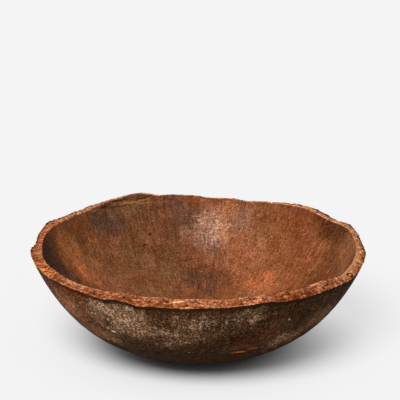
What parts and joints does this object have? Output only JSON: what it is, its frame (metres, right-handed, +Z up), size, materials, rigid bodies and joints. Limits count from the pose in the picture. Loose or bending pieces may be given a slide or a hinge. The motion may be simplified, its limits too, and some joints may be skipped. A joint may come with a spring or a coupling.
{
  "type": "carved wooden bowl",
  "caption": "Wide, deep, round-bottomed bowl hollowed from one block of wood, with a worn, broken rim and a small peg stub set in the rim.",
  "frame": {"origin": "middle of the worn flat that the bowl stands on", "axes": "+Z up out of the open mouth; -Y towards the side that the picture shows from outside; +X to the right of that view"},
  "size_m": [0.3777, 0.3769, 0.1294],
  "materials": {
    "aged_wood": "old red-brown wood, rubbed to a low gloss inside, dark and scuffed outside, raw and crumbled orange at the broken rim",
    "peg_wood": "bare orange-brown wood, broken off, dull"
  },
  "bodies": {
    "root": {"bowl": "aged_wood", "rim_peg": "peg_wood"}
  },
  "joints": []
}
